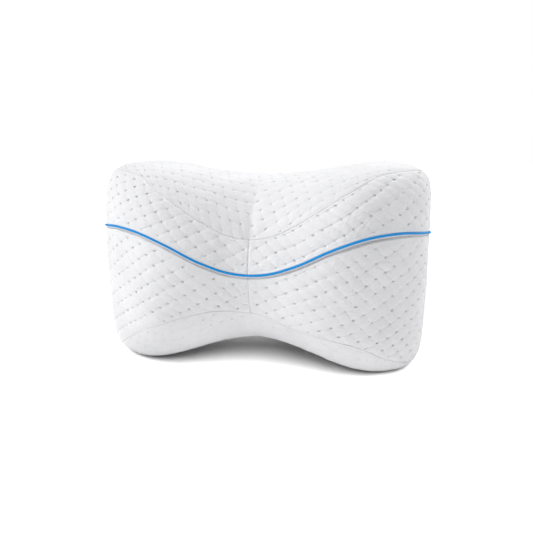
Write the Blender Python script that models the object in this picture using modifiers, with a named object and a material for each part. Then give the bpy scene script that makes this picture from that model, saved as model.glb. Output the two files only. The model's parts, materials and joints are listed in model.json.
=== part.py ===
"""Contoured knee pillow: a foam block in a quilted knit cover, with blue piping and a zip under it.

The body is an hourglass seen from the front. It has a leg hollow on top and an arch below, and stands
on two feet. X runs along the pillow, -Y is its front, and Z is up from the surface it rests on.
"""

import math

import bpy
import numpy as np

# Overall sizes of the filled block, in metres
HALF_LENGTH = 0.125
HALF_DEPTH_MIDDLE = 0.070
HALF_DEPTH_END = 0.0658
FRONT_BULGE = 0.0098
RIDGE_RISE = 0.0763
HOLLOW_RISE = 0.0670
FOOT_DROP = 0.0810
ARCH_DROP = 0.0623
RIDGE_X = 0.0966
FOOT_PRESS = 0.0025
CENTRE_HEIGHT = FOOT_DROP - FOOT_PRESS

# How round the outline is: a power of 2 is an ellipse, and a higher one is squarer
CREST_POWER = 1.18
PLAN_POWER_MIDDLE = 2.35
PLAN_POWER_END = 4.60
SIDE_POWER_MIDDLE = 1.69
SIDE_POWER_END = 2.60
PLAN_CORNER_POWER = 3.20
SIDE_CORNER_POWER = 9.46

# Sewn lines by angle round the pillow, from the front centre (0) to an end (90), both in degrees. The
# lines are elevations seen from the block's middle, in degrees, and the zip is how much of its tape
# shows, in metres. The bottom seam sits lower on the right of the front than on the left.
SEWN_LINES = (
    # angle, top seam, piping, bottom seam left, bottom seam right, zip
    (0.0, 21.0, 0.8, -24.3, -24.3, 0.0009),
    (12.0, 21.7, 2.2, -21.5, -26.5, 0.0013),
    (24.0, 25.0, 6.6, -19.6, -28.2, 0.0018),
    (36.0, 29.0, 12.2, -20.2, -26.0, 0.0022),
    (48.0, 32.3, 15.0, -23.1, -25.6, 0.0024),
    (60.0, 34.4, 14.9, -26.6, -28.7, 0.0014),
    (72.0, 32.6, 13.0, -30.0, -30.6, 0.0000),
    (90.0, 29.8, 11.3, -31.0, -31.0, 0.0000),
)
ZIP_LEFT_SHARE = 0.4
ZIP_LEFT_FADE = 0.25
SIDE_CHANGE = 0.15

# Grid of the filled block
FRONT_CELLS = 38
END_CELLS = 22
BAND_CELLS_ABOVE = 8
BAND_CELLS_BELOW = 8
CORNER_ANGLE = math.radians(28.0)
END_CROWDING = 0.5

# Sewing and quilting
SEAM_DEPTH = 0.0016
SEAM_REACH = 0.0028
QUILT_DIMPLE = 0.0017
QUILT_PUFF = 0.0004
BOTTOM_QUILT_SHARE = 0.4
QUILT_FADE_HEIGHT = 0.006

# Piping and zip
PIPING_RADIUS = 0.0009
PIPING_PROUD = 0.0004
GROOVE_DEPTH = 0.0010
GROOVE_HALF_FLOOR = 0.0013
GROOVE_LIP = 0.0016
WELT_UNDER_PIPING = 0.0006
ZIP_CLEARANCE = 0.00035
ZIP_THICKNESS = 0.0005
ZIP_LEDGE_SPARE = 0.0008
ZIP_LEAST_WIDTH = 0.0006

# Search along a ray for the block's skin
FARTHEST_SKIN = 0.17
HALVINGS = 30


def clear_scene():
    for item in list(bpy.data.objects):
        bpy.data.objects.remove(item, do_unlink=True)


def hex_to_linear(code):
    channels = [int(code[i : i + 2], 16) / 255.0 for i in (1, 3, 5)]
    return [c / 12.92 if c <= 0.04045 else ((c + 0.055) / 1.055) ** 2.4 for c in channels]


def make_material(name, colour, roughness, sheen=0.0):
    material = bpy.data.materials.new(name)
    material.use_nodes = True
    shader = material.node_tree.nodes["Principled BSDF"]
    shader.inputs["Base Color"].default_value = (*hex_to_linear(colour), 1.0)
    shader.inputs["Roughness"].default_value = roughness
    shader.inputs["Metallic"].default_value = 0.0
    shader.inputs["Sheen Weight"].default_value = sheen
    return material


def slice_shape(x, upper):
    """Half depth, half height and the two roundness powers of the slice across the pillow at x."""
    t = np.clip(np.abs(x) / HALF_LENGTH, 0.0, 0.9999)
    climb = np.sin(np.clip(np.abs(x) / RIDGE_X, 0.0, 1.0) * math.pi / 2) ** (2 * CREST_POWER)
    high = HOLLOW_RISE + (RIDGE_RISE - HOLLOW_RISE) * climb
    low = ARCH_DROP + (FOOT_DROP - ARCH_DROP) * climb
    taper = HALF_DEPTH_MIDDLE + (HALF_DEPTH_END - HALF_DEPTH_MIDDLE) * t**2
    bulge = FRONT_BULGE * np.sin(math.pi * t) ** 2
    depth = (taper + bulge) * (1 - t**PLAN_CORNER_POWER) ** (1 / PLAN_CORNER_POWER)
    height = np.where(upper, high, low) * (1 - t**SIDE_CORNER_POWER) ** (1 / SIDE_CORNER_POWER)
    plan_power = PLAN_POWER_MIDDLE + (PLAN_POWER_END - PLAN_POWER_MIDDLE) * t
    side_power = SIDE_POWER_MIDDLE + (SIDE_POWER_END - SIDE_POWER_MIDDLE) * t
    return depth, height, plan_power, side_power


def on_block(angle, elevation):
    """Points where rays from the block's middle, at plan angles and elevations, meet its bare skin."""
    flat = np.cos(elevation)
    way = np.stack([flat * np.cos(angle), flat * np.sin(angle), np.sin(elevation)], axis=-1)
    near = np.zeros(way.shape[:-1])
    far = np.full(way.shape[:-1], FARTHEST_SKIN)
    for _ in range(HALVINGS):
        reach = (near + far) / 2
        x, y, z = np.moveaxis(way * reach[..., None], -1, 0)
        depth, height, plan_power, side_power = slice_shape(x, z > 0)
        fullness = np.abs(y / depth) ** plan_power + np.abs(z / height) ** side_power
        inside = (fullness < 1) & (np.abs(x) < HALF_LENGTH)
        near = np.where(inside, reach, near)
        far = np.where(inside, far, reach)
    return way * near[..., None]


def height_over(x, y, upper):
    """Height of the top (or, if not upper, of the underside) over a point of the plan."""
    depth, height, plan_power, side_power = slice_shape(x, upper)
    rest = np.clip(1 - np.abs(y / depth) ** plan_power, 0.0, 1.0)
    return (1 if upper else -1) * height * rest ** (1 / side_power)


def turn_from_front(angle):
    """Size of the angle from the front centre, or from the back centre behind: 0 to 90 degrees."""
    return math.pi / 2 - np.abs((angle + math.pi / 2) % math.pi - math.pi / 2)


def sewn_line(turn, column):
    """A column of SEWN_LINES by turn from the front centre, smooth between its rows and past both ends."""
    knots = np.radians([row[0] for row in SEWN_LINES])
    values = np.array([row[column] for row in SEWN_LINES])
    knots = np.concatenate([-knots[1:2], knots, math.pi - knots[-2:-3:-1]])
    values = np.concatenate([values[1:2], values, values[-2:-3:-1]])
    slopes = np.gradient(values, knots)
    row = np.clip(np.searchsorted(knots, turn) - 1, 0, len(knots) - 2)
    step = knots[row + 1] - knots[row]
    t = (turn - knots[row]) / step
    return (
        (2 * t**3 - 3 * t**2 + 1) * values[row]
        + (t**3 - 2 * t**2 + t) * step * slopes[row]
        + (3 * t**2 - 2 * t**3) * values[row + 1]
        + (t**3 - t**2) * step * slopes[row + 1]
    )


def spread(count, crowding):
    """Steps from 0 to 1, crowded together at both ends."""
    t = np.linspace(0.0, 1.0, count + 1)
    return t - crowding * np.sin(2 * math.pi * t) / (2 * math.pi)


def column_angles():
    """Plan angles of the grid's columns, counted round from the front left corner."""
    end_slope = math.tan(CORNER_ANGLE)
    front = np.arctan((2 * spread(FRONT_CELLS, 0.0)[:-1] - 1) / end_slope) - math.pi / 2
    right = np.arctan((2 * spread(END_CELLS, END_CROWDING)[:-1] - 1) * end_slope)
    return np.concatenate([front, right, front + math.pi, right + math.pi])


class SewnLines:
    """Elevations of the sewn lines, and the width of zip that shows, at each column."""

    def __init__(self, angles):
        turn = turn_from_front(angles)
        self.angles = angles
        self.top = np.radians(sewn_line(turn, 1))
        self.piping = np.radians(sewn_line(turn, 2))
        right = 0.5 + 0.5 * np.tanh(np.cos(angles) / SIDE_CHANGE)
        self.bottom = np.radians(sewn_line(turn, 3) * (1 - right) + sewn_line(turn, 4) * right)
        left_share = ZIP_LEFT_SHARE + (1 - ZIP_LEFT_SHARE) * np.exp(-turn / ZIP_LEFT_FADE)
        width = np.clip(sewn_line(turn, 5), 0.0, None) * np.where(np.cos(angles) < 0, left_share, 1.0)
        self.zip = np.where(np.sin(angles) < 0, width, 0.0)

    def step(self, line, distance):
        """How much elevation a distance up the skin takes, at one of the lines."""
        small = 0.002
        rise = on_block(self.angles, line + small) - on_block(self.angles, line - small)
        return distance * 2 * small / np.linalg.norm(rise, axis=1)

    def zip_edges(self):
        """Elevations of the zip's upper edge and of its lower one."""
        upper_edge = self.piping - self.step(self.piping, GROOVE_HALF_FLOOR + WELT_UNDER_PIPING)
        return upper_edge, upper_edge - self.step(self.piping, self.zip + ZIP_LEDGE_SPARE / 2)


def side_rows(lines):
    """Rows of the side, bottom to top: elevation at each column, depth pressed in, and whether quilted."""
    half_floor = lines.step(lines.piping, GROOVE_HALF_FLOOR)
    lip = lines.step(lines.piping, GROOVE_LIP)
    groove_foot = lines.zip_edges()[1] - lines.step(lines.piping, ZIP_LEDGE_SPARE / 2)
    low_start = lines.bottom + lines.step(lines.bottom, SEAM_REACH)
    low_end = groove_foot - lip
    high_start = lines.piping + half_floor + lip
    high_end = lines.top - lines.step(lines.top, SEAM_REACH)
    rows = [(lines.bottom, SEAM_DEPTH, False)]
    for share in np.linspace(0, 1, BAND_CELLS_BELOW):
        rows.append((low_start + (low_end - low_start) * share, 0.0, 0 < share < 1))
    rows.append((groove_foot, GROOVE_DEPTH, False))
    rows.append((lines.piping - half_floor, GROOVE_DEPTH, False))
    rows.append((lines.piping + half_floor, GROOVE_DEPTH, False))
    for share in np.linspace(0, 1, BAND_CELLS_ABOVE):
        rows.append((high_start + (high_end - high_start) * share, 0.0, 0 < share < 1))
    rows.append((lines.top, SEAM_DEPTH, False))
    return rows


def quilting(column, row):
    """Depth of the quilting at a grid point: stitched dimples four columns apart, staggered row by row."""
    stitched = (column + 2 * (row % 2)) % 4 == 0
    return np.where(stitched, QUILT_DIMPLE, -QUILT_PUFF)


def patch_plan(loop):
    """Fills a closed plan loop with a grid: each point is blended from the four sides it lies between."""
    n, m = FRONT_CELLS, END_CELLS
    south = loop[: n + 1]
    east = loop[n : n + m + 1]
    north = loop[n + m : 2 * n + m + 1][::-1]
    west = np.concatenate([loop[2 * n + m :], loop[:1]])[::-1]
    u = spread(n, 0.0)[:, None, None]
    v = spread(m, END_CROWDING)[None, :, None]
    ruled = (1 - v) * south[:, None] + v * north[:, None] + (1 - u) * west[None] + u * east[None]
    corners = (1 - u) * ((1 - v) * south[0] + v * north[0]) + u * ((1 - v) * south[-1] + v * north[-1])
    return ruled - corners


def vertex_normals(points, faces):
    """Outward direction at each point, from the faces round it."""
    corners = points[faces]
    crosses = np.cross(corners[:, 2] - corners[:, 0], corners[:, 3] - corners[:, 1])
    normals = np.zeros_like(points)
    for k in range(4):
        np.add.at(normals, faces[:, k], crosses)
    return normals / np.linalg.norm(normals, axis=1)[:, None]


class BlockGrid:
    """Points, faces and pressed-in depths of the filled block: the side's loops, then the two caps."""

    def __init__(self, lines):
        self.count = len(lines.angles)
        self.points = []
        self.press = []
        self.faces = []
        loops = self.lay_side(lines)
        self.lay_cap(loops[-1], upper=True)
        self.lay_cap(loops[0], upper=False)
        self.points = np.concatenate(self.points)
        self.press = np.concatenate(self.press)
        self.faces = np.concatenate(self.faces)

    def add_points(self, points, press):
        """Adds points with their depths, and gives the number of the first."""
        start = sum(len(batch) for batch in self.points)
        self.points.append(points)
        self.press.append(np.broadcast_to(press, len(points)))
        return start

    def join_loops(self, low, high):
        here = np.arange(self.count)
        there = np.roll(here, -1)
        self.faces.append(np.stack([low + here, low + there, high + there, high + here], axis=1))

    def lay_side(self, lines):
        """Loops of the side with the centre seams of front and back drawn in, except in the groove."""
        columns = np.arange(self.count)
        centre = np.isin(columns, (FRONT_CELLS // 2, FRONT_CELLS + END_CELLS + FRONT_CELLS // 2))
        loops = []
        for number, (elevation, press, quilted) in enumerate(side_rows(lines)):
            depth = quilting(columns, number) if quilted else np.full(self.count, press)
            if press != GROOVE_DEPTH:
                depth = np.where(centre, np.maximum(depth, SEAM_DEPTH), depth)
            loops.append(self.add_points(on_block(lines.angles, elevation), depth))
        for low, high in zip(loops[:-1], loops[1:]):
            self.join_loops(low, high)
        return loops

    def lay_cap(self, seam, upper):
        """Runs one more loop in from the seam, then fills it with a grid."""
        ring = np.concatenate(self.points)[seam : seam + self.count, :2]
        inset = ring * (1 - SEAM_REACH / np.linalg.norm(ring, axis=1, keepdims=True))
        heights = height_over(inset[:, 0], inset[:, 1], upper)
        start = self.add_points(np.column_stack([inset, heights]), 0.0)
        if upper:
            self.join_loops(seam, start)
        else:
            self.join_loops(start, seam)
        n, m = FRONT_CELLS, END_CELLS
        plan = patch_plan(inset)[1:n, 1:m]
        share = 1.0 if upper else BOTTOM_QUILT_SHARE
        depth = share * quilting(np.arange(1, n)[:, None], np.arange(1, m)[None])
        rise = height_over(plan[..., 0], plan[..., 1], upper)
        inner = np.column_stack([plan.reshape(-1, 2), rise.ravel()])
        first = self.add_points(inner, depth.ravel())
        index = np.empty((n + 1, m + 1), dtype=int)
        index[1:n, 1:m] = first + np.arange(len(inner)).reshape(n - 1, m - 1)
        loop = start + np.arange(self.count)
        index[:, 0] = loop[: n + 1]
        index[n] = loop[n : n + m + 1]
        index[::-1, m] = loop[n + m : 2 * n + m + 1]
        index[0, :0:-1] = loop[2 * n + m :]
        corners = (index[:-1, :-1], index[1:, :-1], index[1:, 1:], index[:-1, 1:])
        squares = np.stack(corners, axis=-1).reshape(-1, 4)
        self.faces.append(squares if upper else squares[:, ::-1])

    def finished_points(self):
        """Presses in seams, groove and quilting, stands the block on the surface and flattens its feet."""
        normals = vertex_normals(self.points, self.faces)
        points = self.points + (0.0, 0.0, CENTRE_HEIGHT)
        fade = np.clip(points[:, 2] / QUILT_FADE_HEIGHT, 0.0, 1.0)
        points = points - normals * (self.press * fade)[:, None]
        points[:, 2] = np.maximum(points[:, 2], 0.0)
        return points


def skin_line(angle, elevation):
    """Points on the block's bare side along a line, and the way out of the block there."""
    small = 0.003
    along = on_block(angle + small, elevation) - on_block(angle - small, elevation)
    upward = on_block(angle, elevation + small) - on_block(angle, elevation - small)
    outward = np.cross(along, upward)
    outward /= np.linalg.norm(outward, axis=1, keepdims=True)
    return on_block(angle, elevation) + (0.0, 0.0, CENTRE_HEIGHT), outward


def add_mesh(name, points, faces, material, collection):
    mesh = bpy.data.meshes.new(name)
    mesh.from_pydata(points.tolist(), [], faces.tolist())
    mesh.materials.append(material)
    mesh.shade_smooth()
    item = bpy.data.objects.new(name, mesh)
    collection.objects.link(item)
    return item


def add_pillow(lines, collection):
    block = BlockGrid(lines)
    cover = make_material("white_quilted_knit", "#F1F2F4", 0.85, 0.25)
    return add_mesh("pillow", block.finished_points(), block.faces, cover, collection)


def add_piping(lines, collection):
    """One closed tube that lies in the groove all the way round."""
    line, outward = skin_line(lines.angles, lines.piping)
    centre = line + outward * PIPING_PROUD
    curve = bpy.data.curves.new("piping", "CURVE")
    curve.dimensions = "3D"
    curve.bevel_depth = PIPING_RADIUS
    curve.bevel_resolution = 2
    spline = curve.splines.new("POLY")
    spline.points.add(len(centre) - 1)
    spline.points.foreach_set("co", np.column_stack([centre, np.ones(len(centre))]).ravel())
    spline.use_cyclic_u = True
    curve.materials.append(make_material("blue_piping_cloth", "#1E9BE6", 0.6, 0.1))
    item = bpy.data.objects.new("piping", curve)
    collection.objects.link(item)
    return item


def add_zip_tape(lines, collection):
    """A thin strip in the ledge under the piping, as long as the zip shows on the front."""
    shown = np.flatnonzero(lines.zip > ZIP_LEAST_WIDTH)
    columns = len(shown)
    upper_edge, lower_edge = (edge[shown] for edge in lines.zip_edges())
    sink = GROOVE_DEPTH - ZIP_CLEARANCE - ZIP_THICKNESS
    rows = []
    for edge in (lower_edge, (lower_edge + upper_edge) / 2, upper_edge):
        line, outward = skin_line(lines.angles[shown], edge)
        rows.append(line - outward * sink)
    index = np.arange(len(rows) * columns).reshape(len(rows), columns)
    corners = (index[:-1, :-1], index[:-1, 1:], index[1:, 1:], index[1:, :-1])
    faces = np.stack(corners, axis=-1).reshape(-1, 4)
    tape = make_material("grey_zip_tape", "#A9A7B8", 0.7)
    item = add_mesh("zip_tape", np.concatenate(rows), faces, tape, collection)
    thick = item.modifiers.new("tape thickness", "SOLIDIFY")
    thick.thickness = ZIP_THICKNESS
    thick.offset = -1.0
    return item


def build():
    clear_scene()
    collection = bpy.data.collections.new("knee_pillow")
    bpy.context.scene.collection.children.link(collection)
    lines = SewnLines(column_angles())
    add_pillow(lines, collection)
    add_piping(lines, collection)
    add_zip_tape(lines, collection)


build()
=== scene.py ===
"""Looks of a contoured knee pillow: quilted white knit cover, blue piping, and a zip under the piping."""

import json
import math

import bpy
import numpy as np
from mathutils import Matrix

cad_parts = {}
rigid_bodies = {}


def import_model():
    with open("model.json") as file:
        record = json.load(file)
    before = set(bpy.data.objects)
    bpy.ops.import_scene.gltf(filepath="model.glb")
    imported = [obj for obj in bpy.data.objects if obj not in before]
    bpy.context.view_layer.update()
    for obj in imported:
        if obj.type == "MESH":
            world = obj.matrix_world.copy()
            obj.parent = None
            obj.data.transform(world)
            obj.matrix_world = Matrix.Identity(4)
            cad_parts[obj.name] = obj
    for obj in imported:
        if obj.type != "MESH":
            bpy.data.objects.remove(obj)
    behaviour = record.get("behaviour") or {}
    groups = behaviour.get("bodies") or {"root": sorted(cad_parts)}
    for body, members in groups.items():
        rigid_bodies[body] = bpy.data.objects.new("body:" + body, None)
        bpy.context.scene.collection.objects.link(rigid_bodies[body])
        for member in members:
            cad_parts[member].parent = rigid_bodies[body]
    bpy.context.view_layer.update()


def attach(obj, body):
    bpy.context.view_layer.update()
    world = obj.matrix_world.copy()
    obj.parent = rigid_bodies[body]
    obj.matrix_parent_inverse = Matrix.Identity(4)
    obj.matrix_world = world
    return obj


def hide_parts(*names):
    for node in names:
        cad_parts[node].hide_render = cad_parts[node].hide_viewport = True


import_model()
for item in list(bpy.data.objects):
    if item.type in ("CAMERA", "LIGHT"):
        bpy.data.objects.remove(item, do_unlink=True)

# Filled cover
# A block of memory foam in a fitted cover of white polyester knit, quilted to a thin wadding. Top and bottom
# panels and a two-part side band are sewn together. The upper half ends above the piping, the lower below.

MM = 0.001

# The bare block, in metres, and the powers that round it off
HALF_LENGTH = 0.125
HALF_DEPTH_MIDDLE = 0.070
HALF_DEPTH_END = 0.0658
FRONT_BULGE = 0.0098
RIDGE_RISE = 0.0763
HOLLOW_RISE = 0.0670
FOOT_DROP = 0.0810
ARCH_DROP = 0.0623
RIDGE_X = 0.0966
FOOT_PRESS = 0.0025
CENTRE_HEIGHT = FOOT_DROP - FOOT_PRESS
CREST_POWER = 1.18
PLAN_POWER_MIDDLE, PLAN_POWER_END = 2.35, 4.60
SIDE_POWER_MIDDLE, SIDE_POWER_END = 1.69, 2.60
PLAN_CORNER_POWER, SIDE_CORNER_POWER = 3.20, 9.46
END_STOP = 0.99995
FARTHEST, HALVINGS = 0.17, 26


def slice_shape(x, upper):
    """Half depth and height of the slice across the pillow at x, and its roundness powers. The half height
    climbs from hollow to ridge as a raised sine. Both round off to nothing at the ends, as superellipses."""
    t = np.clip(np.abs(x) / HALF_LENGTH, 0.0, END_STOP)
    climb = np.sin(np.clip(np.abs(x) / RIDGE_X, 0.0, 1.0) * math.pi / 2) ** (2 * CREST_POWER)
    high = HOLLOW_RISE + (RIDGE_RISE - HOLLOW_RISE) * climb
    low = ARCH_DROP + (FOOT_DROP - ARCH_DROP) * climb
    depth = HALF_DEPTH_MIDDLE + (HALF_DEPTH_END - HALF_DEPTH_MIDDLE) * t**2
    depth = depth + FRONT_BULGE * np.sin(math.pi * t) ** 2
    depth = depth * (1 - t**PLAN_CORNER_POWER) ** (1 / PLAN_CORNER_POWER)
    height = np.where(upper, high, low) * (1 - t**SIDE_CORNER_POWER) ** (1 / SIDE_CORNER_POWER)
    plan_power = PLAN_POWER_MIDDLE + (PLAN_POWER_END - PLAN_POWER_MIDDLE) * t
    side_power = SIDE_POWER_MIDDLE + (SIDE_POWER_END - SIDE_POWER_MIDDLE) * t
    return depth, height, plan_power, side_power


def on_block(angle, elevation):
    """Point of the block's skin seen from its middle at a plan angle and an elevation: the ray is halved
    until it meets |y / depth| ** plan power + |z / height| ** side power = 1."""
    flat = np.cos(elevation)
    way = np.stack([flat * np.cos(angle), flat * np.sin(angle), np.sin(elevation)], -1)
    near, far = np.zeros(angle.shape), np.full(angle.shape, FARTHEST)
    for _ in range(HALVINGS):
        reach = (near + far) / 2
        x, y, z = np.moveaxis(way * reach[..., None], -1, 0)
        depth, height, plan_power, side_power = slice_shape(x, z > 0)
        inside = np.abs(y / depth) ** plan_power + np.abs(z / height) ** side_power < 1
        inside &= np.abs(x) < HALF_LENGTH
        near, far = np.where(inside, reach, near), np.where(inside, far, reach)
    return way * reach[..., None]


def height_over(x, y, upper):
    """Height of the top, or of the underside, over a point of the plan, by the same rule as on_block."""
    depth, height, plan_power, side_power = slice_shape(x, upper)
    rest = np.clip(1 - np.abs(y / depth) ** plan_power, 0.0, 1.0)
    return (1 if upper else -1) * height * rest ** (1 / side_power)


def bell(distance, reach):
    """A bell over a distance: e to the power of minus the square of distance / reach."""
    return np.exp(-((distance / reach) ** 2))


def soft_step(value, width):
    """A step from 0 to 1 as a value passes zero: half of one plus the hyperbolic tangent of value / width."""
    return 0.5 + 0.5 * np.tanh(value / width)


def spread(count, crowd):
    """Steps from 0 to 1 that crowd together at both ends: t less crowd times a sine wave."""
    t = np.linspace(0.0, 1.0, count + 1)
    return t - crowd * np.sin(2 * math.pi * t) / (2 * math.pi)


# The cover's grid: cells along the front and the ends, and how its columns crowd at the corners
LENGTH_CELLS, DEPTH_CELLS = 314, 214
CAP_CROWD = 0.5
CORNER_ANGLE = math.radians(28.0)


def column_angles():
    """Plan angles of the grid's columns, front left corner first. Along front and back they take equal steps
    of x over y, and along the ends steps of y over x that crowd at the corners, as the panels' grid does."""
    front = np.arctan(np.linspace(-1.0, 1.0, LENGTH_CELLS + 1)[:-1] / np.tan(CORNER_ANGLE)) - math.pi / 2
    right = np.arctan(np.tan(CORNER_ANGLE) * (2 * spread(DEPTH_CELLS, CAP_CROWD)[:-1] - 1))
    return np.concatenate([front, right, front + math.pi, right + math.pi])


ANGLES = column_angles()

# Sewn lines: angle round the pillow from the front centre to an end, and their elevations seen from the
# block's middle, in degrees. The zip column is how much zip tape shows, in millimetres.
SEWN_LINES = np.array((
    # angle, top seam, piping, bottom seam left, bottom seam right, zip
    (0.0, 21.0, 0.8, -24.3, -24.3, 0.6),
    (12.0, 21.7, 2.2, -21.5, -26.5, 0.8),
    (24.0, 25.0, 6.6, -19.6, -28.2, 1.1),
    (36.0, 29.0, 12.2, -20.2, -26.0, 1.2),
    (48.0, 32.3, 15.0, -23.1, -25.6, 1.4),
    (60.0, 34.4, 14.9, -26.6, -28.7, 1.0),
    (72.0, 32.6, 13.0, -30.0, -30.6, 0.0),
    (90.0, 29.8, 11.3, -31.0, -31.0, 0.0),
))
TOP_SEAM, PIPING_LINE, LEFT_BOTTOM_SEAM, RIGHT_BOTTOM_SEAM, ZIP_SHOWN = 1, 2, 3, 4, 5
BOTTOM_SEAM_BLEND = 0.15
ZIP_LEFT_SHARE, ZIP_LEFT_FADE = 0.4, 0.25


def turn_from_front(angle):
    """Plan angle counted from the front centre, negative to the left, or from the back centre behind."""
    wrapped = (angle + math.pi / 2 + math.pi) % (2 * math.pi) - math.pi
    folded = np.sign(wrapped) * (math.pi - np.abs(wrapped))
    return np.where(np.abs(wrapped) <= math.pi / 2, wrapped, folded)


def sewn_line(angle, column):
    """A column of SEWN_LINES at plan angles: cubic pieces that pass the rows with the slopes of their
    neighbours, mirrored about the front centre and the ends."""
    turn = np.abs(turn_from_front(angle))
    knots, values = np.radians(SEWN_LINES[:, 0]), SEWN_LINES[:, column]
    knots = np.concatenate([-knots[1:2], knots, math.pi - knots[-2:-3:-1]])
    values = np.concatenate([values[1:2], values, values[-2:-3:-1]])
    slopes = np.gradient(values, knots)
    row = np.clip(np.searchsorted(knots, turn) - 1, 0, len(knots) - 2)
    step = knots[row + 1] - knots[row]
    t = (turn - knots[row]) / step
    return (
        (2 * t**3 - 3 * t**2 + 1) * values[row]
        + (t**3 - 2 * t**2 + t) * step * slopes[row]
        + (3 * t**2 - 2 * t**3) * values[row + 1]
        + (t**3 - t**2) * step * slopes[row + 1]
    )


def lines_round():
    """Elevations of the seams and the piping at every column, in radians, and how much zip shows, in metres.
    The bottom seam goes from its left to its right course as a soft step. The zip shows in front only, and
    left of the middle it thins out as an exponential."""
    right = soft_step(np.cos(ANGLES), BOTTOM_SEAM_BLEND)
    bottom = sewn_line(ANGLES, LEFT_BOTTOM_SEAM) * (1 - right) + sewn_line(ANGLES, RIGHT_BOTTOM_SEAM) * right
    fade = np.exp(-np.abs(turn_from_front(ANGLES)) / ZIP_LEFT_FADE)
    left_share = ZIP_LEFT_SHARE + (1 - ZIP_LEFT_SHARE) * fade
    zip_share = np.where(np.sin(ANGLES) < 0, np.where(np.cos(ANGLES) < 0, left_share, 1.0), 0.0)
    return {
        "top": np.radians(sewn_line(ANGLES, TOP_SEAM)),
        "piping": np.radians(sewn_line(ANGLES, PIPING_LINE)),
        "bottom": np.radians(bottom),
        "zip": np.clip(sewn_line(ANGLES, ZIP_SHOWN), 0.0, None) * MM * zip_share,
    }


LINES = lines_round()


def smooth_noise(x, y, seed, size=48):
    """Wavy noise from -1 to 1 with a step of one unit: random values on a grid, blended by a smooth step."""
    values = np.random.default_rng(seed).uniform(-1, 1, (size, size))
    column, row = np.floor(x).astype(int), np.floor(y).astype(int)
    s, t = x - column, y - row
    s, t = s * s * (3 - 2 * s), t * t * (3 - 2 * t)
    column, row, next_column, next_row = column % size, row % size, (column + 1) % size, (row + 1) % size
    near = values[column, row] * (1 - s) + values[next_column, row] * s
    far = values[column, next_row] * (1 - s) + values[next_column, next_row] * s
    return near * (1 - t) + far * t


def waves(u, v, table, seed):
    """Sum of wavy noises, each with its height and its steps along and up the cloth, in millimetres."""
    noises = [smooth_noise(u / along, v / up, seed + k) for k, (_, along, up) in enumerate(table)]
    return sum(height * noise for (height, _, _), noise in zip(table, noises))


# Seeds of the random draws, so that the cover comes out the same each time
LATTICE_SEED = {"left": 21, "right": 31, "top": 41, "bottom": 51}
QUILT_SEED = {"side": 5, "top": 15, "bottom": 16}
WRINKLE_SEED = {"upper": 101, "lower": 111, "top": 121, "bottom": 131}
GATHER_SEED = {"upper": 3, "lower": 4, "lip": 7, "front": 8, "back": 9}
SEAM_SEED, EDGE_SEED = 37, 71

# Quilting: the tacks lie on a lattice with these two steps, in millimetres of cloth (along, up). The cloth is
# stretched by waves of these heights and steps.
TACK_STEP_UP = np.array((6.8, 3.6))
TACK_STEP_DOWN = np.array((6.9, -6.6))
TACK_STEPS = np.array([TACK_STEP_UP, TACK_STEP_DOWN])
CELL_AREA = abs(float(np.linalg.det(TACK_STEPS)))
LEFT_SHIFT, RIGHT_SHIFT = (3.1, 1.7), (0.6, 4.4)
STRETCH_ALONG = ((0.9, 21.0, 17.0), (0.35, 7.0, 8.0))
STRETCH_UP = ((0.9, 19.0, 23.0), (0.35, 8.0, 7.0))

# Puffs, creases and tacks: sizes in millimetres, and how far luck varies each of them
PUFF_HEIGHT, PUFF_FULLNESS = 0.33, 0.55
PUFF_LEAST, PUFF_LUCK = 0.65, 0.5
CREASE_DEPTH_UP, CREASE_DEPTH_DOWN, CREASE_WIDTH = 0.15, 0.06, 0.9
CREASE_LUCK_POWER = 1.5
TACK_DEPTH, TACK_WIDTH, TACK_HALF_LENGTH = 0.46, 0.85, 0.5
TACK_SHARP_SHARE, TACK_DISH_WIDTH = 0.65, 2.21
TACK_LEAST, TACK_LUCK = 0.7, 0.5
LUCK_CELLS = 64


def lattice(cloth, seed):
    """Position in the tack lattice, in steps, of points given in millimetres of cloth, a little stretched."""
    u, v = cloth[..., 0], cloth[..., 1]
    u = u + waves(u, v, STRETCH_ALONG, seed)
    v = v + waves(u, v, STRETCH_UP, seed + 2)
    return np.stack([u, v], -1) @ np.linalg.inv(TACK_STEPS)


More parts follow.
